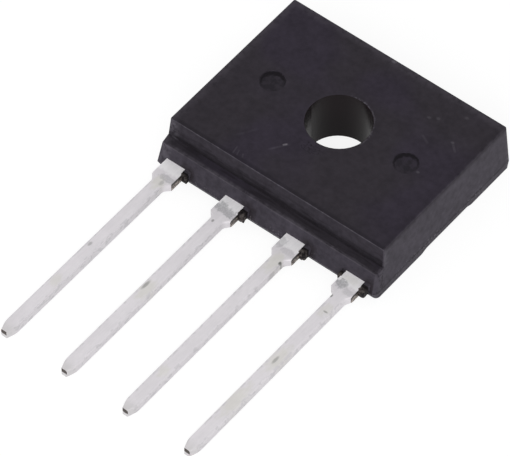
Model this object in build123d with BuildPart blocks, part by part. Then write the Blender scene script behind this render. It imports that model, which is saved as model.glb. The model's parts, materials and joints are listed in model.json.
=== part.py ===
from build123d import *
import math
import os

os.makedirs("parts", exist_ok=True)

# A single-in-line bridge rectifier: an epoxy body moulded round a stamped lead frame.
# Millimetres. The part lies on its rear face. The origin is on the screw hole's axis at the
# rear face, +X runs along the row from lead 1 to lead 4, and the leads point to -Y.
# The rear half and the front half of the mould meet at the parting plane, which is the rear
# side of the lead frame, so the body is widest there.

# Row of leads
lead_pitch = 3.81
lead_thickness = 0.5
shank_width = 0.7
shoulder_width = 1.19
shoulder_shift = [0.01, -0.06, -0.04, -0.14]
shoulder_reach = 1.05
shank_edge_radius = 0.1
neck_length = 0.27
neck_radius = 0.35
stub_length = [0.8, 0.62, 0.62, 0.62]
stub_reach = 0.04
lead_reach = 13.12
tip_width = 0.34
tip_taper = 0.5
tip_side_radius = 1.0

# Moulded body
body_thickness = 3.2
parting_height = 0.55
side_margin = 0.53
far_end_y = 5.075
lip_nose_y = -5.9
wall_draft = 3.5
rear_draft = 4.7
corner_radius = 0.08
front_edge_radius = 0.08
lead_end_edge_radius = 0.08

# Lip at the lead end, under a sloping ledge
lip_height = 1.23
lip_draft = 15.5
lip_rear_draft = 26
lip_left_corner_radius = 0.05
lip_right_corner_radius = 0.25
lip_edge_radius = 0.05
ledge_width = 0.44
ledge_slope = 24
end_wall_draft = 6

# Screw hole, ejector marks, and the gate recess under the side by lead 4
screw_hole_radius = 1.72
ejector_mark_radius = 0.68
ejector_mark_depth = 0.02
ejector_mark_x = 4.19
gate_recess_width = 3.3
gate_recess_ramp = 0.34
gate_recess_depth = 0.16
gate_recess_reach = 0.9
gate_recess_y = 0.14

# Resin flash between each shoulder and the space that the dam bar closed
flash_width = 0.3
flash_taper = 0.1
small_flash_width = 0.16
small_flash_length = 0.3

# Lead frame inside the body: pads, landings and the arm that passes the screw hole
frame_side_wall = 0.875
frame_far_wall = 0.86
pad_lip_wall = 1.6
arm_lip_wall = 1.0
hole_wall = 0.65
frame_gap = 0.38
arm_width = 0.7
landing_width = 1.6
lock_hole_radius = 0.5
root_overlap = 0.4

# Dice, solder and jumpers
die_side = 1.6
die_thickness = 0.28
solder_thickness = 0.05
solder_margin = 0.06
jumper_width = 1.1
jumper_thickness = 0.25
jumper_slope = 0.4
foot_length = 1.1

# Places and heights that follow from these sizes
lead_x = [(place - 1.5) * lead_pitch for place in range(4)]
shoulder_left = [x + shift - shoulder_width / 2 for x, shift in zip(lead_x, shoulder_shift)]
shoulder_end_y = lip_nose_y - shoulder_reach
tip_y = lip_nose_y - lead_reach
body_half_width = lead_x[-1] + shoulder_width / 2 + side_margin

frame_half_width = body_half_width - frame_side_wall
frame_far_y = far_end_y - frame_far_wall
pad_near_y = lip_nose_y + pad_lip_wall
arm_near_y = lip_nose_y + arm_lip_wall
hole_clear = screw_hole_radius + hole_wall
arm_outer_x = hole_clear + arm_width
near_landing_x = shoulder_left[1] + landing_width / 2
far_landing_x = arm_outer_x - landing_width / 2
positive_pad_right = shoulder_left[1] - frame_gap
negative_pad_left = arm_outer_x + frame_gap
positive_die_x = (positive_pad_right - frame_half_width) / 2
negative_die_x = (negative_pad_left + frame_half_width) / 2
die_y = hole_clear + jumper_width / 2

frame_top = parting_height + lead_thickness
die_bottom = frame_top + solder_thickness
die_top = die_bottom + die_thickness
jumper_bottom = die_top + solder_thickness


def lean(height, angle):
    """How far a wall leans over from the upright in a height."""
    return height * math.tan(math.radians(angle))


def span(x_low, x_high, y_low, y_high):
    """Adds the rectangle between four limits to the open sketch."""
    with Locations(((x_low + x_high) / 2, (y_low + y_high) / 2)):
        Rectangle(x_high - x_low, y_high - y_low)


def lead_outline(place):
    """Adds one lead to the open sketch: root, shoulder with dam-bar stub, neck, shank and tip."""
    x = lead_x[place]
    left = shoulder_left[place]
    right = left + shoulder_width
    stub_right = right + stub_reach
    stub_top_y = shoulder_end_y + stub_length[place]
    neck_y = shoulder_end_y - neck_length
    root_y = pad_near_y + root_overlap
    with BuildSketch(mode=Mode.PRIVATE) as outline:
        with BuildLine():
            Polyline(
                (left, root_y),
                (left, shoulder_end_y),
                (x - shank_width / 2, neck_y),
                (x - shank_width / 2, tip_y + tip_taper),
                (x - tip_width / 2, tip_y),
                (x + tip_width / 2, tip_y),
                (x + shank_width / 2, tip_y + tip_taper),
                (x + shank_width / 2, neck_y),
                (stub_right, shoulder_end_y),
                (stub_right, stub_top_y),
                (right, stub_top_y),
                (right, root_y),
                close=True,
            )
        make_face()
        fillet(outline.vertices().group_by(Axis.Y)[2], radius=neck_radius)
        fillet(outline.vertices().group_by(Axis.Y)[1], radius=tip_side_radius)
    add(outline.sketch)


def round_shank(lead):
    """Rounds the four long edges of a shank."""
    along = lead.edges().filter_by(Axis.Y).group_by(SortBy.LENGTH)[-1]
    fillet(along, radius=shank_edge_radius)


# Positive lead: lead 1 widens to a pad that carries two dice
with BuildPart() as positive_lead:
    with BuildSketch(Plane.XY.offset(parting_height)):
        lead_outline(0)
        span(-frame_half_width, positive_pad_right, pad_near_y, frame_far_y)
        with Locations((positive_die_x, 0)):
            Circle(lock_hole_radius, mode=Mode.SUBTRACT)
    extrude(amount=lead_thickness)
    round_shank(positive_lead)
positive_lead.part.label = "positive_lead"
export_step(positive_lead.part, "parts/positive_lead.step")

# First AC lead: lead 2 ends in a landing on the near side of the screw hole
with BuildPart() as ac_lead_1:
    with BuildSketch(Plane.XY.offset(parting_height)):
        lead_outline(1)
        span(shoulder_left[1], shoulder_left[1] + landing_width, arm_near_y, -hole_clear)
    extrude(amount=lead_thickness)
    round_shank(ac_lead_1)
ac_lead_1.part.label = "ac_lead_1"
export_step(ac_lead_1.part, "parts/ac_lead_1.step")

# Second AC lead: lead 3 steps sideways, passes the screw hole and ends in a far landing
with BuildPart() as ac_lead_2:
    with BuildSketch(Plane.XY.offset(parting_height)):
        lead_outline(2)
        span(shoulder_left[2], arm_outer_x, arm_near_y, pad_near_y + root_overlap)
        span(hole_clear, arm_outer_x, arm_near_y, frame_far_y)
        span(arm_outer_x - landing_width, arm_outer_x, hole_clear, frame_far_y)
    extrude(amount=lead_thickness)
    round_shank(ac_lead_2)
ac_lead_2.part.label = "ac_lead_2"
export_step(ac_lead_2.part, "parts/ac_lead_2.step")

# Negative lead: lead 4 widens to the pad of the other two dice
with BuildPart() as negative_lead:
    with BuildSketch(Plane.XY.offset(parting_height)):
        lead_outline(3)
        span(negative_pad_left, frame_half_width, pad_near_y, frame_far_y)
        with Locations((negative_die_x, 0)):
            Circle(lock_hole_radius, mode=Mode.SUBTRACT)
    extrude(amount=lead_thickness)
    round_shank(negative_lead)
negative_lead.part.label = "negative_lead"
export_step(negative_lead.part, "parts/negative_lead.step")

# Dice between their solder layers, two on each pad
die_places = {
    "positive_near": (positive_die_x, -die_y),
    "positive_far": (positive_die_x, die_y),
    "negative_near": (negative_die_x, -die_y),
    "negative_far": (negative_die_x, die_y),
}
inner_parts = []
for place_name, die_place in die_places.items():
    with BuildPart() as solder_under_die:
        with BuildSketch(Plane.XY.offset(frame_top)):
            with Locations(die_place):
                Rectangle(die_side + 2 * solder_margin, die_side + 2 * solder_margin)
        extrude(amount=solder_thickness)
    solder_under_die.part.label = "solder_under_die_" + place_name

    with BuildPart() as diode_die:
        with BuildSketch(Plane.XY.offset(die_bottom)):
            with Locations(die_place):
                Rectangle(die_side, die_side)
        extrude(amount=die_thickness)
    diode_die.part.label = "diode_die_" + place_name

    with BuildPart() as solder_on_die:
        with BuildSketch(Plane.XY.offset(die_top)):
            with Locations(die_place):
                Rectangle(jumper_width, jumper_width)
        extrude(amount=solder_thickness)
    solder_on_die.part.label = "solder_on_die_" + place_name
    inner_parts += [solder_under_die.part, diode_die.part, solder_on_die.part]

# Copper jumpers: each joins a die on either pad and dips to an AC landing between them
jumper_feet = {
    "near": (near_landing_x, -die_y),
    "far": (far_landing_x, die_y),
}
for place_name, (foot_x, jumper_y) in jumper_feet.items():
    underside = [
        (positive_die_x - jumper_width / 2, jumper_bottom),
        (foot_x - foot_length / 2 - jumper_slope, jumper_bottom),
        (foot_x - foot_length / 2, die_bottom),
        (foot_x + foot_length / 2, die_bottom),
        (foot_x + foot_length / 2 + jumper_slope, jumper_bottom),
        (negative_die_x + jumper_width / 2, jumper_bottom),
    ]
    top_side = [(x, z + jumper_thickness) for x, z in reversed(underside)]
    with BuildPart() as jumper:
        with BuildSketch(Plane.XZ.offset(-jumper_y)):
            with BuildLine():
                Polyline(underside + top_side, close=True)
            make_face()
        extrude(amount=jumper_width / 2, both=True)
    jumper.part.label = "jumper_" + place_name

    with BuildPart() as solder_under_jumper:
        with BuildSketch(Plane.XY.offset(frame_top)):
            with Locations((foot_x, jumper_y)):
                Rectangle(foot_length, jumper_width)
        extrude(amount=solder_thickness)
    solder_under_jumper.part.label = "solder_under_jumper_" + place_name
    inner_parts += [jumper.part, solder_under_jumper.part]

lead_parts = [positive_lead.part, ac_lead_1.part, ac_lead_2.part, negative_lead.part]
for inner_part in inner_parts:
    export_step(inner_part, "parts/" + inner_part.label + ".step")

# Moulded body. Its end profile, drawn from the far end round to the lead end, crosses its
# side profile, and what both hold is the drafted block.
front_rise = body_thickness - parting_height
front_lean = lean(front_rise, wall_draft)
rear_lean = lean(parting_height, rear_draft)
lip_edge_y = lip_nose_y + lean(lip_height, lip_draft)
lip_edge_height = parting_height + lip_height
ledge_foot_y = lip_edge_y + ledge_width
ledge_foot_height = lip_edge_height + lean(ledge_width, ledge_slope)
front_end_y = ledge_foot_y + lean(body_thickness - ledge_foot_height, end_wall_draft)


def upright_edges(block):
    """The edges of the block that lean less than 45 degrees from the upright."""
    return block.edges().filter_by(lambda edge: abs(edge.tangent_at(0.5).Z) > math.cos(math.pi / 4))


def flash_outline(root_x, width, end_y):
    """Adds a lump of flash to the open sketch, from inside the lip out to end_y."""
    with BuildSketch(mode=Mode.PRIVATE) as lump:
        with BuildLine():
            Polyline(
                (root_x, lip_edge_y),
                (root_x, end_y),
                (root_x + width - math.copysign(flash_taper, width), end_y),
                (root_x + width, lip_nose_y),
                (root_x + width, lip_edge_y),
                close=True,
            )
        make_face()
    add(lump.sketch)


with BuildPart() as moulded_body:
    with BuildSketch(Plane.YZ):
        with BuildLine():
            Polyline(
                (far_end_y - rear_lean, 0),
                (far_end_y, parting_height),
                (far_end_y - front_lean, body_thickness),
                (front_end_y, body_thickness),
                (ledge_foot_y, ledge_foot_height),
                (lip_edge_y, lip_edge_height),
                (lip_nose_y, parting_height),
                (lip_nose_y + lean(parting_height, lip_rear_draft), 0),
                close=True,
            )
        make_face()
    extrude(amount=body_half_width, both=True)
    with BuildSketch(Plane.XZ):
        with BuildLine():
            Polyline(
                (body_half_width - rear_lean, 0),
                (body_half_width, parting_height),
                (body_half_width - front_lean, body_thickness),
                (-body_half_width + front_lean, body_thickness),
                (-body_half_width, parting_height),
                (-body_half_width + rear_lean, 0),
                close=True,
            )
        make_face()
    extrude(amount=far_end_y - lip_nose_y, both=True, mode=Mode.INTERSECT)

    # Rounded corners at the far end, then the rounded front edges, the finest at the lead end
    corners = upright_edges(moulded_body)
    fillet(corners.filter_by(lambda edge: edge.center().Y > 0), radius=corner_radius)
    front_edges = moulded_body.faces().sort_by(Axis.Z)[-1].edges()
    lead_end_edge = front_edges.sort_by(Axis.Y)[0]
    fillet(front_edges - ShapeList([lead_end_edge]), radius=front_edge_radius)
    front_edges = moulded_body.faces().sort_by(Axis.Z)[-1].edges()
    lead_end_edge = front_edges.sort_by(Axis.Y)[0]
    end_wall_corners = upright_edges(moulded_body).filter_by_position(Axis.Y, lip_edge_y, 0)
    fillet([lead_end_edge, *end_wall_corners], radius=lead_end_edge_radius)

    # Rounded corners of the lip, then its finely rounded top edge
    for side, radius in ((-1, lip_left_corner_radius), (1, lip_right_corner_radius)):
        lip_corners = upright_edges(moulded_body).filter_by_position(Axis.Y, lip_nose_y, lip_edge_y)
        fillet(lip_corners.filter_by(lambda edge: edge.center().X * side > 0), radius=radius)
    lip_edge = moulded_body.edges().sort_by_distance((0, lip_edge_y, lip_edge_height))[0]
    fillet(lip_edge, radius=lip_edge_radius)

    # Flash on the lip's face, one lump down to each dam-bar stub and a small one by lead 4
    with BuildSketch(Plane.XY.offset(parting_height)):
        for left, length in zip(shoulder_left, stub_length):
            flash_outline(left + shoulder_width, flash_width, shoulder_end_y + length)
        flash_outline(shoulder_left[-1], -small_flash_width, lip_nose_y - small_flash_length)
    extrude(amount=lead_thickness)

    # Screw hole, ejector marks and gate recess
    with Locations((0, 0, body_thickness)):
        Hole(radius=screw_hole_radius)
    with BuildSketch(Plane.XY.offset(body_thickness)):
        with Locations((-ejector_mark_x, 0), (ejector_mark_x, 0)):
            Circle(ejector_mark_radius)
    extrude(amount=-ejector_mark_depth, mode=Mode.SUBTRACT)
    with BuildSketch(Plane.YZ.offset(body_half_width)):
        with Locations((gate_recess_y, 0)):
            with BuildLine():
                Polyline(
                    (-gate_recess_width / 2 - gate_recess_ramp, 0),
                    (-gate_recess_width / 2, gate_recess_depth),
                    (gate_recess_width / 2, gate_recess_depth),
                    (gate_recess_width / 2 + gate_recess_ramp, 0),
                    close=True,
                )
            make_face()
    extrude(amount=-gate_recess_reach, mode=Mode.SUBTRACT)

    # The lead frame and what it carries are moulded in
    for moulded_in in lead_parts + inner_parts:
        add(moulded_in, mode=Mode.SUBTRACT)
moulded_body.part.label = "moulded_body"
export_step(moulded_body.part, "parts/moulded_body.step")
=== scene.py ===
"""Looks of a single-in-line bridge rectifier: a black moulded body and four tinned leads.

Everything is in metres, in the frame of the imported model: the screw hole's axis is Z, the rear
face lies at z = 0, the row of leads runs along X and the leads point to -Y.
"""
import json
import math

import bpy
import numpy as np
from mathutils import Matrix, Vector


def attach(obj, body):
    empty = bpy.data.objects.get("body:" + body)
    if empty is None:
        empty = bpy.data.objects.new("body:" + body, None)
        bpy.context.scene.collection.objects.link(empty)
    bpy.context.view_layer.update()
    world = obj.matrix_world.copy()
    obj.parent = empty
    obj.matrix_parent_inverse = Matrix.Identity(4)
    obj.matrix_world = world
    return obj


MM = 0.001

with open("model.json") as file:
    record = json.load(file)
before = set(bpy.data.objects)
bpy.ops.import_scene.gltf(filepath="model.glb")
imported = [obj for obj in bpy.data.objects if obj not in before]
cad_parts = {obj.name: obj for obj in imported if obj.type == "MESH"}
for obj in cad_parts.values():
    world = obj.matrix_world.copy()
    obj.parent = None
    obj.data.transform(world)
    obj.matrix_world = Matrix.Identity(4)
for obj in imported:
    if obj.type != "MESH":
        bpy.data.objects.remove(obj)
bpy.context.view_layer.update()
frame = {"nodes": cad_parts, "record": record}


# Sizes of the part in millimetres, as in the CAD source

LEAD_PITCH = 3.81
LEAD_X = [(place - 1.5) * LEAD_PITCH for place in range(4)]
LEAD_BOTTOM = 0.55
LEAD_TOP = 1.05
SHOULDER_WIDTH = 1.19
SHOULDER_SHIFT = [0.01, -0.06, -0.04, -0.14]
SHOULDER_LEFT = [x + shift - SHOULDER_WIDTH / 2 for x, shift in zip(LEAD_X, SHOULDER_SHIFT)]
SHOULDER_END_Y = -6.95
STUB_LENGTH = [0.8, 0.62, 0.62, 0.62]
TIP_Y = -19.02
BODY_TOP = 3.2
FRONT_EDGE_Y = -4.99
FRONT_FAR_Y = 4.92
FRONT_HALF_WIDTH = 6.68
LEDGE_FOOT = (-5.13, 1.97)
LIP_EDGE = (-5.56, 1.77)
LIP_NOSE_Y = -5.9
HOLE_RADIUS = 1.72
EJECTOR_X = 4.19
EJECTOR_RADIUS = 0.68
FLASH_WIDTH = 0.3
FIRST_FLASH_X = SHOULDER_LEFT[0] + SHOULDER_WIDTH + FLASH_WIDTH / 2
SMALL_FLASH_WIDTH = 0.16
SMALL_FLASH_LENGTH = 0.3


# Colours, nodes and the masks that the finishes share

# A reach that leaves its axis out of a distance
FAR = 1e6


def linear(hex_colour):
    """An sRGB hex colour as the linear RGBA that sockets take."""
    channels = [int(hex_colour[i:i + 2], 16) / 255 for i in (1, 3, 5)]
    curve = [c / 12.92 if c <= 0.04045 else ((c + 0.055) / 1.055) ** 2.4 for c in channels]
    return (*curve, 1.0)


def node(tree, kind, *inputs, **settings):
    """Adds a node with its settings and links, and gives its first output in use.

    The inputs in use are filled in turn. A socket is linked, a hex colour is set as linear, any
    other value is set as it is, and None keeps the node's own. A setting that starts with a
    capital is an input by its name, with underscores for spaces, and any other is an attribute.
    """
    made = tree.nodes.new("ShaderNode" + kind)
    for name, value in settings.items():
        if name[0].islower():
            setattr(made, name, value)
    fills = list(zip([socket for socket in made.inputs if socket.enabled], inputs))
    for name, value in settings.items():
        if name[0].isupper():
            fills.append((made.inputs[name.replace("_", " ")], value))
    for socket, value in fills:
        if isinstance(value, bpy.types.NodeSocket):
            tree.links.new(value, socket)
        elif isinstance(value, str):
            socket.default_value = linear(value)
        elif value is not None:
            socket.default_value = value
    outputs = [socket for socket in made.outputs if socket.enabled]
    return outputs[0] if outputs else None


class Finish:
    """A material in the making: its node tree, and the measures that its masks read.

    Places and sizes are in millimetres of the object's own coordinates, and a mask runs from 0 to
    1. The measures start with the place (x, y, z) and the way that the surface faces (facing_x,
    facing_y, facing_z).
    """

    def __init__(self, name):
        self.material = bpy.data.materials.new(name)
        self.material.use_nodes = True
        self.tree = self.material.node_tree
        self.tree.nodes.clear()
        coordinates = node(self.tree, "TexCoord").node.outputs
        self.place = node(self.tree, "VectorMath", coordinates["Object"],
                          operation="SCALE", Scale=1 / MM)
        self.measures = {}
        for group, vector in (("", self.place), ("facing_", coordinates["Normal"])):
            for axis, socket in zip("xyz", node(self.tree, "SeparateXYZ", vector).node.outputs):
                self.measures[group + axis] = socket

    def pattern(self, name, size, detail=2.0, stretch=(1.0, 1.0, 1.0), shift=0.0):
        """Adds a measure: noise about 0.5 in blotches of a size, longer where it is stretched."""
        scale = [1 / (size * longer) for longer in stretch]
        placed = node(self.tree, "Mapping", self.place, Location=(shift, shift, shift), Scale=scale)
        self.measures[name] = node(self.tree, "TexNoise", placed, Scale=1.0, Detail=detail)
        return self.measures[name]

    def distance(self, centre, reach):
        """The length of a place's offset from the centre, each axis divided by its reach."""
        offset = node(self.tree, "VectorMath", self.place, centre, operation="SUBTRACT")
        shares = node(self.tree, "VectorMath", offset, reach, operation="DIVIDE")
        return node(self.tree, "VectorMath", shares, operation="LENGTH")

    def both(self, *masks):
        """The product of the masks: where all hold. A number among them scales the rest."""
        product = masks[0]
        for mask in masks[1:]:
            product = node(self.tree, "Math", product, mask, operation="MULTIPLY")
        return product

    def either(self, *masks):
        """The highest of the masks: where any holds."""
        most = masks[0]
        for mask in masks[1:]:
            most = node(self.tree, "Math", most, mask, operation="MAXIMUM")
        return most

    def within(self, *given, **named):
        """Where each measure has passed from its first limit to its second, smooth between them.

        A measure is named, or it is given as a socket before its limits.
        """
        ranges = list(given) + [(self.measures[name], *ends) for name, ends in named.items()]
        return self.both(*[
            node(self.tree, "MapRange", *ends, interpolation_type="SMOOTHSTEP") for ends in ranges
        ])

    def near_point(self, centre, radii, soft, pattern, push):
        """An oval spot seen from above, its rim softened, and pushed in and out by a pattern."""
        away = self.distance((*centre, 0.0), (*radii, FAR))
        away = node(self.tree, "Math", pattern, push, away, operation="MULTIPLY_ADD")
        rim = 1 + push / 2
        return self.within((away, rim + soft, rim - soft))

    def near_edge(self, y, z, radius, pattern, push):
        """A line along the row through (y, z), its rim pushed in and out by a pattern."""
        away = self.distance((0.0, y, z), (FAR, 1.0, 1.0))
        away = node(self.tree, "Math", pattern, push, away, operation="MULTIPLY_ADD")
        return self.within((away, radius, radius / 3))

    def near_line(self, start, end, width):
        """A scratch seen from above, which thins out along it and across it from its middle."""
        length = math.dist(start, end)
        along_x, along_y = [(b - a) / length for a, b in zip(start, end)]
        middle = [(a + b) / 2 for a, b in zip(start, end)]
        offset = node(self.tree, "VectorMath", self.place, (*middle, 0.0), operation="SUBTRACT")
        ways = [
            ((along_x, along_y, 0.0), length / 2, length / 4),
            ((-along_y, along_x, 0.0), width, width / 3),
        ]
        ranges = []
        for direction, outer, inner in ways:
            away = node(self.tree, "VectorMath", offset, direction, operation="DOT_PRODUCT")
            ranges.append((node(self.tree, "Math", away, operation="ABSOLUTE"), outer, inner))
        return self.within(*ranges)

    def spots(self, places, soft, pattern, push):
        """The spots of a list, each the centre and radii of an oval and how strong it is."""
        return self.either(*[
            self.both(self.near_point(centre, radii, soft, pattern, push), strength)
            for centre, radii, strength in places
        ])

    def coated(self, colour, coats):
        """The colour under its coats: each mixes its own colour in by its mask, the last on top."""
        for mask, coat in coats:
            colour = node(self.tree, "Mix", mask, colour, coat, data_type="RGBA")
        return colour

    def done(self, relief, depth, **settings):
        """Gives the material: a principled shader with these settings and a relief of a depth."""
        normal = node(self.tree, "Bump", Height=relief, Strength=1.0, Distance=depth * MM)
        shader = node(self.tree, "BsdfPrincipled", Normal=normal, **settings)
        node(self.tree, "OutputMaterial", shader)
        return self.material


def wear(piece, material):
    """Makes the material the piece's only one."""
    piece.data.materials.clear()
    piece.data.materials.append(material)


# Materials

# Start, end, width and strength of each scratch in the front
SCRATCHES = [
    ((-3.57, -3.98), (-2.75, -2.73), 0.09, 0.06),
    ((-1.70, -3.62), (-0.90, -2.50), 0.09, 0.12),
    ((-1.28, -2.92), (-1.08, -2.68), 0.08, 1.0),
    ((-2.86, -4.87), (-2.96, -4.30), 0.06, 0.15),
    ((-2.62, -4.85), (-2.74, -4.42), 0.06, 0.12),
    ((-2.30, -4.80), (-2.45, -4.50), 0.06, 0.12),
    ((3.63, 1.96), (4.35, 1.60), 0.09, 0.1),
    ((5.20, 2.43), (5.75, 1.95), 0.09, 0.12),
]
# Centre, radii and strength of each small chip in the front
CHIPS = [
    ((5.20, 2.43), (0.08, 0.064), 0.3),
    ((3.72, 3.21), (0.10, 0.08), 0.2),
    ((3.32, 2.99), (0.10, 0.08), 0.2),
    ((4.81, 4.12), (0.10, 0.08), 0.2),
    ((4.99, -0.11), (0.08, 0.064), 0.3),
    ((-0.25, 4.75), (0.10, 0.08), 0.5),
]


def ejector_marks(surface, ragged):
    """The two ejector marks in the front, and the shaded crescent at the far rim of each."""
    discs, crescents = [], []
    for x in (-EJECTOR_X, EJECTOR_X):
        outer, inner = EJECTOR_RADIUS - 0.04, EJECTOR_RADIUS - 0.11
        disc = surface.near_point((x, 0.0), (outer, outer), 0.1, ragged, 0.25)
        lit = surface.near_point((x + 0.10, -0.13), (inner, inner), 0.18, ragged, 0.5)
        discs.append(disc)
        crescents.append(surface.both(disc, surface.within((lit, 1.0, 0.0))))
    return surface.either(*discs), surface.either(*crescents)


def epoxy_moulding_compound():
    """Black epoxy moulding compound, pressed round the leads in a spark-eroded steel mould.

    To the eye it is a dull, mottled near-black that leans to violet. The walls are painted
    greyer than the front, as the light that they catch, and speckled low down, where the mould
    halves meet in a dark seam. The wall over the ledge has painted shade, darker towards its
    foot, and the side walls have painted shade along their top. The front's edges are lighter
    from rubbing and from painted highlights, most of all a thin line at the lead end, and painted
    shade lies just inside the lead end and the +x edge. The screw hole is smooth from its
    core pin and painted darker, as shade inside it. The flash is black and torn.
    """
    surface = Finish("epoxy_moulding_compound")
    both, either, within = surface.both, surface.either, surface.within
    tree, measures = surface.tree, surface.measures

    # The resin's flow leaves clouds of 1 mm and blotches of 0.3 mm, its tint drifts over 4 mm, and
    # dust from the mould leaves specks of 0.1 mm. The ragged rims of marks wander in steps of
    # 0.2 mm. Wiping leaves streaks along the row, 0.16 mm wide and nine times as long. The mould's
    # eroded grain is about 0.02 mm, too fine to show, so it is drawn at 0.06 mm.
    clouds = surface.pattern("clouds", 1.0, detail=3.0)
    blotches = surface.pattern("blotches", 0.3, detail=3.0, shift=7.0)
    ragged = surface.pattern("ragged", 0.2, detail=3.0, shift=3.0)
    grain = surface.pattern("grain", 0.06, detail=1.0)
    surface.pattern("specks", 0.1, detail=1.0, shift=15.0)
    surface.pattern("tint", 4.0, detail=1.0, shift=20.0)
    surface.pattern("streaks", 0.16, detail=3.0, stretch=(9.0, 1.0, 1.0), shift=30.0)

    measures["facing_side"] = node(tree, "Math", measures["facing_x"], operation="ABSOLUTE")
    measures["from_axis"] = surface.distance((0.0, 0.0, 0.0), (1.0, 1.0, FAR))
    measures["from_parting"] = surface.distance((0.0, 0.0, LEAD_BOTTOM), (FAR, FAR, 1.0))
    measures["to_far_right"] = node(tree, "Math", measures["x"], measures["y"], operation="ADD")

    # How far a place is from the nearest flash along the row, in pitches
    shift = 0.5 - FIRST_FLASH_X / LEAD_PITCH
    off_flash = node(tree, "Math", measures["x"], 1 / LEAD_PITCH, shift, operation="MULTIPLY_ADD")
    off_flash = node(tree, "Math", off_flash, operation="FRACT")
    off_flash = node(tree, "Math", off_flash, 0.5, operation="SUBTRACT")
    off_flash = node(tree, "Math", off_flash, operation="ABSOLUTE")
    measures["off_flash"] = node(tree, "Math", ragged, 0.08, off_flash, operation="MULTIPLY_ADD")
    # A height pushed in and out by the ragged pattern, for a darker halo on the lip round each
    # flash
    halo_to = node(tree, "Math", ragged, 0.5, measures["z"], operation="MULTIPLY_ADD")
    measures["soil_height"] = halo_to

    # The body's faces
    front = within(facing_z=(0.55, 0.85))
    wall = within(facing_z=(0.85, 0.55))
    on_front = both(front, within(z=(2.9, 3.0)))
    to_leads = within(facing_y=(-0.85, -0.95))
    side_wall = within(facing_side=(0.8, 0.95))
    end_wall = within(facing_y=(-0.9, -0.98), z=(LEDGE_FOOT[1] - 0.07, LEDGE_FOOT[1] + 0.03))

    # Painted shade, and rubbing with painted highlights, along the front's edges
    shaded = either(
        both(within(x=(FRONT_HALF_WIDTH - 0.5, FRONT_HALF_WIDTH - 0.25)), 0.4),
        within(y=(FRONT_EDGE_Y + 0.3, FRONT_EDGE_Y + 0.12)),
    )
    rubbed_and_highlit = either(
        within(x=(FRONT_HALF_WIDTH - 0.13, FRONT_HALF_WIDTH)),
        within(x=(0.6 - FRONT_HALF_WIDTH, 0.08 - FRONT_HALF_WIDTH)),
        within(y=(FRONT_FAR_Y - 0.6, FRONT_FAR_Y - 0.08)),
        both(within(y=(LIP_EDGE[0] + 0.2, LIP_EDGE[0] + 0.06)), 1.2),
    )
    pale_ends = either(
        both(wall, to_leads, within(x=(-5.9, -6.5))),
        within(x=(6.45, 6.75), y=(4.75, 4.98)),
        both(side_wall, within(y=(-4.6, -4.95), z=(1.9, 2.1))),
    )

    # Marks in the front, edges lightened by wear and as painted highlight lines, dark streaks by
    # the ledge, the dark seam, and a darker halo on the lip round each flash
    discs, crescents = ejector_marks(surface, ragged)
    hole_rim = within(
        from_axis=(HOLE_RADIUS + 0.12, HOLE_RADIUS + 0.04),
        to_far_right=(0.9, 1.7),
        specks=(0.45, 0.6),
    )
    worn_and_highlit = either(
        surface.near_edge(FRONT_EDGE_Y - 0.02, BODY_TOP - 0.02, 0.08, ragged, 0.06),
        both(surface.near_edge(*LIP_EDGE, 0.09, ragged, 0.07), 0.3),
        both(on_front, hole_rim),
    )
    pitted = surface.near_point((-0.1, -2.2), (0.6, 0.3), 0.5, ragged, 0.6)
    pits = both(pitted, within(specks=(0.48, 0.34)))
    scratches = [
        both(surface.near_line(start, end, width), strength)
        for start, end, width, strength in SCRATCHES
    ]
    marks = either(*scratches, surface.spots(CHIPS, 0.7, ragged, 1.2))
    wiped = both(
        within(y=(FRONT_EDGE_Y - 0.02, LEDGE_FOOT[0] + 0.04)),
        within(y=(LIP_EDGE[0], LIP_EDGE[0] + 0.12)),
    )
    seam = within(from_parting=(0.13, 0.03), y=(LIP_NOSE_Y, LIP_NOSE_Y + 0.3), ragged=(0.75, 0.4))
    low = both(wall, within(z=(1.0, 0.5), clouds=(0.4, 0.6)))
    torn = within(y=(LIP_NOSE_Y - 0.02, LIP_NOSE_Y - 0.06))
    torn_flecks = within(ragged=(0.4, 0.66), y=(LIP_NOSE_Y - 0.08, LIP_NOSE_Y - 0.3))

    violet_black = surface.coated("#332E38", [(within(tint=(0.4, 0.6)), "#332F35")])
    # The walls' own grey, and the walls to the leads, are painted light: lighter than the front, as
    # the light that the walls catch
    colour = surface.coated("#4B474F", [
        (to_leads, "#413D45"),
        (front, violet_black),
        # Painted shade on the wall over the ledge: darker towards its foot, lighter towards its top
        (both(end_wall, within(z=(2.95, 2.05))), "#221F24"),
        (both(end_wall, within(z=(2.0, 2.9))), "#363239"),
        # Painted shade along the top of the side walls
        (both(side_wall, within(z=(2.85, 3.2)), 0.9), "#312D34"),
        # Painted shade just inside the front's +x edge and its lead end
        (both(front, shaded, 0.45), "#1C191F"),
        # Lighter front edges: rubbing, and painted highlight
        (both(front, rubbed_and_highlit, within(blotches=(0.2, 0.55)), 0.55), "#4A464D"),
        (both(pale_ends, within(ragged=(0.3, 0.6)), 0.5), "#6C6870"),
        (both(discs, on_front, within(blotches=(0.35, 0.6))), "#252228"),
        (both(crescents, on_front), "#141116"),
        # Edge lines and the hole's far right rim, lighter from wear and as painted highlight
        (both(worn_and_highlit, within(clouds=(0.25, 0.5)), 0.6), "#75727A"),
        (both(on_front, pits, 0.7), "#121013"),
        (both(marks, on_front, 0.5), "#8C8890"),
        (both(wiped, within(streaks=(0.46, 0.64)), 0.6), "#1B171C"),
        # A darker halo on the lip round each flash, low down
        (both(to_leads, within(off_flash=(0.2, 0.1), soil_height=(1.9, 1.3)), 0.6), "#241F20"),
        (both(seam, 0.55), "#1E1B20"),
        (both(low, within(specks=(0.6, 0.76))), "#807C82"),
        (both(low, within(specks=(0.4, 0.28))), "#1D1B1F"),
        (torn, "#181517"),
        (both(torn, torn_flecks), "#5A5452"),
    ])

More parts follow.
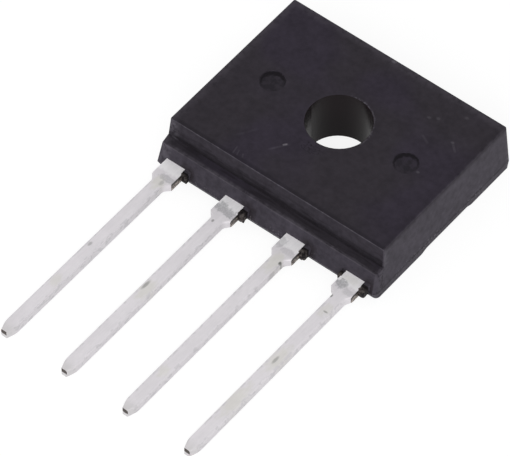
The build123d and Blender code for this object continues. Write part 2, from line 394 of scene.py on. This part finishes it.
    # Brightness: 0.75 plus half the clouds, plus the blotches, which swing more on the walls
    level = node(tree, "Math", clouds, 0.5, 0.75, operation="MULTIPLY_ADD")
    swing = node(tree, "Math", front, -0.3, 0.9, operation="MULTIPLY_ADD")
    uneven = node(tree, "Math", blotches, 0.5, operation="SUBTRACT")
    shade = node(tree, "Math", uneven, swing, level, operation="MULTIPLY_ADD")
    colour = node(tree, "VectorMath", colour, operation="SCALE", Scale=shade)

    # The screw hole's wall is smoother, and painted darker as shade inside the hole
    in_hole = within(from_axis=(HOLE_RADIUS + 0.02, HOLE_RADIUS))
    return surface.done(
        node(tree, "Math", both(discs, on_front), ragged, grain, operation="MULTIPLY_ADD"),
        0.006,
        Base_Color=surface.coated(colour, [(in_hole, "#1D1518")]),
        Roughness=node(tree, "Math", in_hole, -0.36, 0.6, operation="MULTIPLY_ADD"),
        IOR=1.55,
        Specular_IOR_Level=0.07,
    )


# Centre, radii and strength of each grey patch on the shoulders, where the plating is thin
TIN_PATCHES = [
    ((-5.47, -6.78), (0.42, 0.18), 0.4),
    ((-2.22, -6.48), (0.42, 0.30), 0.56),
    ((-1.74, -6.55), (0.38, 0.28), 0.56),
    ((1.44, -6.38), (0.24, 0.34), 0.32),
    ((2.08, -6.66), (0.46, 0.18), 0.22),
    ((5.32, -6.54), (0.30, 0.30), 0.6),
    ((5.90, -6.80), (0.30, 0.18), 0.25),
]
# The same for each faint yellow stain
TIN_STAINS = [
    ((-5.70, -7.20), (0.30, 0.40), 0.40),
    ((-5.72, -15.10), (0.25, 0.40), 0.30),
    ((-1.90, -12.80), (0.32, 0.65), 0.36),
    ((1.92, -7.60), (0.32, 0.70), 0.42),
    ((1.90, -16.10), (0.25, 0.35), 0.30),
    ((5.60, -6.08), (0.40, 0.22), 0.20),
    ((5.72, -8.30), (0.30, 0.40), 0.30),
    ((5.74, -12.10), (0.34, 0.85), 0.38),
    ((5.70, -15.30), (0.34, 1.05), 0.38),
]
# The same for each small dark fleck
TIN_FLECKS = [
    ((-2.05, -7.42), (0.06, 0.09), 0.7),
    ((2.19, -7.45), (0.07, 0.10), 1.0),
    ((5.78, -8.41), (0.12, 0.05), 0.6),
    ((5.40, -7.45), (0.05, 0.10), 0.8),
    ((2.27, -8.20), (0.04, 0.25), 0.3),
    ((-5.52, -7.15), (0.10, 0.18), 0.35),
    ((-2.10, -12.57), (0.08, 0.30), 0.6),
    ((5.69, -12.20), (0.08, 0.25), 0.5),
    ((-5.85, -12.30), (0.08, 0.14), 0.45),
]


def matte_tin_plating():
    """Matte tin, plated on stamped copper leads before they were cut from their strip.

    To the eye it is a pale, dull metal that scatters most of its light, so little of it mirrors.
    It has a band next to the body painted brighter, as light against the body's shade, grey
    patches below that, faint yellow stains and dark flecks. The ends of the tips and the stubs of
    the dam bar were cut after plating, and show dull copper under a dark line, which on the stubs
    is a painted shadow under the burr.
    """
    surface = Finish("matte_tin_plating")
    both, within = surface.both, surface.within
    tree, measures = surface.tree, surface.measures

    # The plating varies in clouds of 0.8 mm and blotches of 0.22 mm, both longer along the leads,
    # and has specks of 0.08 mm. Torn copper is ragged in steps of 0.14 mm. The strip's rolling
    # lines are about 0.01 mm wide, too fine to show, so they are drawn at 0.06 mm.
    surface.pattern("clouds", 0.8, stretch=(1.0, 1.7, 1.0))
    blotches = surface.pattern("blotches", 0.22, stretch=(1.0, 1.5, 1.0), shift=5.0)
    ragged = surface.pattern("ragged", 0.14, detail=3.0, shift=3.0)
    surface.pattern("specks", 0.08, detail=1.0, shift=15.0)
    rolled = surface.pattern("rolled", 0.06, detail=1.0, stretch=(1.0, 14.0, 1.0), shift=9.0)

    # A band next to the body, its edge pushed by the ragged pattern, where the tin is painted
    # brighter as light against the body's shade
    clamped_to = node(tree, "Math", ragged, 0.3, measures["y"], operation="MULTIPLY_ADD")
    torn_height = node(tree, "Math", ragged, 0.12, measures["z"], operation="MULTIPLY_ADD")
    measures.update(clamped_to=clamped_to, torn_height=torn_height)

    # How far a place is from the middle of its lead
    across = node(tree, "Math", measures["x"], 1 / LEAD_PITCH, 2.0, operation="MULTIPLY_ADD")
    across = node(tree, "Math", across, operation="FRACT")
    across = node(tree, "Math", across, LEAD_PITCH, -LEAD_PITCH / 2, operation="MULTIPLY_ADD")
    measures["off_centre"] = node(tree, "Math", across, operation="ABSOLUTE")

    speckled = node(tree, "Math", within(specks=(0.35, 0.6)), 0.3, 0.7, operation="MULTIPLY_ADD")
    grey = both(surface.spots(TIN_PATCHES, 0.3, ragged, 1.8), speckled)
    dull_rim = within(off_centre=(0.2, 0.3), blotches=(0.5, 0.62), y=(-7.3, -7.6))
    colour = surface.coated("#E8E4E8", [
        (within(clouds=(0.35, 0.65)), "#ECE8EC"),
        # Painted light: the band next to the body, brighter against the body's shade
        (within(clamped_to=(-6.45, -6.2)), "#FCFAFC"),
        (surface.spots(TIN_STAINS, 0.5, blotches, 1.5), "#DBDACB"),
        (grey, "#8B8D90"),
        (surface.spots(TIN_FLECKS, 0.5, ragged, 0.5), "#7B7C78"),
        (both(dull_rim, 0.5), "#C6C4C7"),
        (both(within(y=(TIP_Y + 0.82, TIP_Y + 0.12)), 0.5), "#CFCDCC"),
    ])

    # Brightness: 0.89 plus a share of the blotches and of the rolling lines
    shade = node(tree, "Math", blotches, rolled, operation="ADD")
    shade = node(tree, "Math", shade, 0.09, 0.89, operation="MULTIPLY_ADD")
    colour = node(tree, "VectorMath", colour, operation="SCALE", Scale=shade)

    cut_bar = within(facing_x=(0.8, 0.95), y=(SHOULDER_END_Y - 0.02, SHOULDER_END_Y))
    cut_tip = within(facing_y=(-0.8, -0.95), torn_height=(0.8, 0.88))
    copper = surface.coated("#4A3F3A", [
        (within(ragged=(0.42, 0.6)), "#B0A59C"),
        # Painted shadow under the burr: a dark line along the top of the stubs' cut faces
        (within(torn_height=(LEAD_TOP - 0.18, LEAD_TOP - 0.08)), "#1D1715"),
    ])
    return surface.done(
        node(tree, "Math", rolled, 0.5, blotches, operation="MULTIPLY_ADD"),
        0.004,
        Base_Color=surface.coated(colour, [(cut_bar, copper), (cut_tip, "#3E3530")]),
        Metallic=node(tree, "Math", cut_bar, -0.1, 0.2, operation="MULTIPLY_ADD"),
        Roughness=0.5,
    )


def sawn_silicon():
    """Silicon sawn from a wafer and metallised: dark blue-grey and half mirroring.

    The saw's grit leaves lines of about 0.01 mm, too fine to show, so they are drawn at 0.03 mm.
    """
    surface = Finish("sawn_silicon")
    saw_lines = surface.pattern("saw_lines", 0.03, detail=1.0, stretch=(1.0, 20.0, 1.0))
    colour = surface.coated("#3A3F48", [(saw_lines, "#565C66")])
    return surface.done(saw_lines, 0.002, Base_Color=colour, Metallic=0.4, Roughness=0.3)


def reflowed_solder():
    """Solder melted between its joints: bright grey and softly grained, in grains of 0.15 mm."""
    surface = Finish("reflowed_solder")
    grains = surface.pattern("grains", 0.15, detail=3.0)
    colour = surface.coated("#9A9B9E", [(grains, "#B9BABD")])
    return surface.done(grains, 0.01, Base_Color=colour, Metallic=1.0, Roughness=0.4)


def stamped_copper():
    """Copper stamped from rolled strip: warm and satin, with darker clouds of oxide of 0.8 mm.

    The rolling lines are about 0.01 mm wide, too fine to show, so they are drawn at 0.04 mm.
    """
    surface = Finish("stamped_copper")
    clouds = surface.pattern("clouds", 0.8)
    rolled = surface.pattern("rolled", 0.04, detail=1.0, stretch=(12.0, 1.0, 1.0))
    colour = surface.coated("#B4694A", [(clouds, "#D08A66")])
    return surface.done(rolled, 0.003, Base_Color=colour, Metallic=1.0, Roughness=0.35)


FINISHES = {
    "moulding_compound": epoxy_moulding_compound(),
    "tinned_lead": matte_tin_plating(),
    "silicon": sawn_silicon(),
    "solder": reflowed_solder(),
    "bare_copper": stamped_copper(),
}
for subpart in frame["record"]["subparts"]:
    wear(frame["nodes"][subpart["node"]], FINISHES[subpart["material_slot"]])


# Flash

# How far inside the lip's nose a lump starts, and how far short of its end it stops
FLASH_ROOT = 0.4
FLASH_SHORT = 0.05
# How far its sides swell, the ripples of the swell, and the waves of its end
FLASH_SWELL = 0.04
FLASH_RIPPLE = 0.014
FLASH_WAVE = 0.03
# The share of its way that draws in
FLASH_CLOSING = 0.12


def ragged_flash(name, left, right, end_y, seed):
    """A ragged lump of flash from inside the lip out to end_y, round its plain CAD prism.

    It is a surface of two parameters. The turn goes round a section, a superellipse in which
    |u|^6 + |w|^6 = 1 in the lump's half width and half height. The way goes from the root to the
    end. A sum of sines of both, with seeded phases, makes the swell of the section uneven. The
    last eighth of the way draws in as a square root, to close the end, and the sections ripple
    along the lead in three waves, most at the end.
    """
    rounds, sections = 48, 28
    phases = np.random.default_rng(seed).uniform(0, 2 * math.pi, (6, 2))
    turn = np.linspace(0, 2 * math.pi, rounds, endpoint=False)[None, :]
    way = np.linspace(0, 1, sections)[:, None]
    waves = np.arange(2, 8)[:, None, None]
    round_it = np.sin(waves * turn + phases[:, :1, None])
    along_it = np.sin(4.5 * waves * way + phases[:, 1:, None])
    swell = FLASH_SWELL + FLASH_RIPPLE * (round_it * along_it / np.sqrt(waves)).sum(axis=0)
    u = np.cbrt(np.cos(turn))
    w = np.cbrt(np.sin(turn))
    closing = np.sqrt(np.clip((1 - way) / FLASH_CLOSING, 0.02, 1))
    root_y = LIP_NOSE_Y + FLASH_ROOT
    reach = end_y - FLASH_SHORT - root_y
    x = (left + right) / 2 + closing * u * ((right - left) / 2 + swell)
    y = root_y + way * reach - FLASH_WAVE * np.sin(3 * turn + phases[0, 0]) * way
    z = (LEAD_BOTTOM + LEAD_TOP) / 2 + closing * w * ((LEAD_TOP - LEAD_BOTTOM) / 2 + swell)
    points = np.stack([x, y, z], axis=-1).reshape(-1, 3) * MM

    grid = np.arange(sections * rounds).reshape(sections, rounds)
    after = np.roll(grid, -1, axis=1)
    sides = np.stack([grid[:-1], after[:-1], after[1:], grid[1:]], axis=-1).reshape(-1, 4)
    caps = [grid[0, ::-1].tolist(), grid[-1].tolist()]
    mesh = bpy.data.meshes.new(name)
    mesh.from_pydata(points.tolist(), [], sides.tolist() + caps)
    mesh.shade_smooth()
    lump = bpy.data.objects.new(name, mesh)
    bpy.context.scene.collection.objects.link(lump)
    wear(lump, FINISHES["moulding_compound"])
    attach(lump, "root")


for place, (left, stub) in enumerate(zip(SHOULDER_LEFT, STUB_LENGTH)):
    right = left + SHOULDER_WIDTH
    ragged_flash(f"flash_{place + 1}", right, right + FLASH_WIDTH, SHOULDER_END_Y + stub, place)
left = SHOULDER_LEFT[3]
end_y = LIP_NOSE_Y - SMALL_FLASH_LENGTH
ragged_flash("flash_small", left - SMALL_FLASH_WIDTH, left, end_y, 9)


# Floor, background, lamps and camera

def white_ray_share(tree):
    """1 for camera, glossy and transmission rays, which see a plain white surrounding."""
    path = node(tree, "LightPath").node.outputs
    seen = node(tree, "Math", path["Is Camera Ray"], path["Is Glossy Ray"], operation="ADD")
    return node(tree, "Math", seen, path["Is Transmission Ray"], operation="ADD", use_clamp=True)


def studio_world(light):
    """A plain world that lights the object evenly and looks white."""
    world = bpy.data.worlds.new("studio")
    world.use_nodes = True
    tree = world.node_tree
    tree.nodes.clear()
    lit = node(tree, "Background", "#FFFFFF", light)
    white = node(tree, "Background", "#FFFFFF", 1.0)
    node(tree, "OutputWorld", node(tree, "MixShader", white_ray_share(tree), lit, white))
    bpy.context.scene.world = world


def white_table(size, glow, share):
    """The white table: diffuse paper that glows for the eye, so that the shadow on it is faint.

    It lies 0.02 mm under the rear face, so that the two faces don't flicker into each other.
    """
    corners = [(-size, -size), (size, -size), (size, size), (-size, size)]
    mesh = bpy.data.meshes.new("floor")
    mesh.from_pydata([(x, y, -0.02 * MM) for x, y in corners], [], [(0, 1, 2, 3)])
    floor = bpy.data.objects.new("floor", mesh)
    bpy.context.scene.collection.objects.link(floor)
    material = bpy.data.materials.new("white_table")
    material.use_nodes = True
    tree = material.node_tree
    tree.nodes.clear()
    paper = node(tree, "BsdfDiffuse", "#EDEDED")
    shine = node(tree, "Emission", "#FFFFFF", glow)
    seen = node(tree, "Math", white_ray_share(tree), share, operation="MULTIPLY")
    node(tree, "OutputMaterial", node(tree, "MixShader", seen, paper, shine))
    wear(floor, material)


def soft_lamp(name, place_mm, aim_mm, width_mm, watts):
    """A square softbox at a place, turned to its aim."""
    data = bpy.data.lights.new(name, "AREA")
    data.shape = "SQUARE"
    data.size = width_mm * MM
    data.energy = watts
    lamp = bpy.data.objects.new(name, data)
    lamp.location = Vector(place_mm) * MM
    lamp.rotation_euler = (Vector(aim_mm) - Vector(place_mm)).to_track_quat("-Z", "Y").to_euler()
    bpy.context.scene.collection.objects.link(lamp)


def photo_camera():
    """The photograph's view, fitted to the row of leads, the screw hole and the body's edges."""
    azimuth, elevation = math.radians(38.579), math.radians(51.764)
    distance_mm = 275.76
    target_mm = Vector((-0.650, -5.841, 0.0))
    focal_px, frame_px, sensor_mm = 5582.7, 510, 36.0
    back = Vector((
        math.sin(azimuth) * math.cos(elevation),
        -math.cos(azimuth) * math.cos(elevation),
        math.sin(elevation),
    ))
    data = bpy.data.cameras.new("photo_camera")
    data.sensor_fit = "HORIZONTAL"
    data.sensor_width = sensor_mm
    data.lens = focal_px / frame_px * sensor_mm
    camera = bpy.data.objects.new("photo_camera", data)
    camera.location = (target_mm + back * distance_mm) * MM
    camera.rotation_euler = (-back).to_track_quat("-Z", "Y").to_euler()
    bpy.context.scene.collection.objects.link(camera)
    bpy.context.scene.camera = camera


bpy.context.scene.view_settings.view_transform = "Standard"
studio_world(light=0.55)
soft_lamp("softbox_front", place_mm=(90, -190, 160), aim_mm=(0, -6, 0), width_mm=160, watts=0.26)
white_table(size=0.6, glow=1.15, share=0.75)
photo_camera()
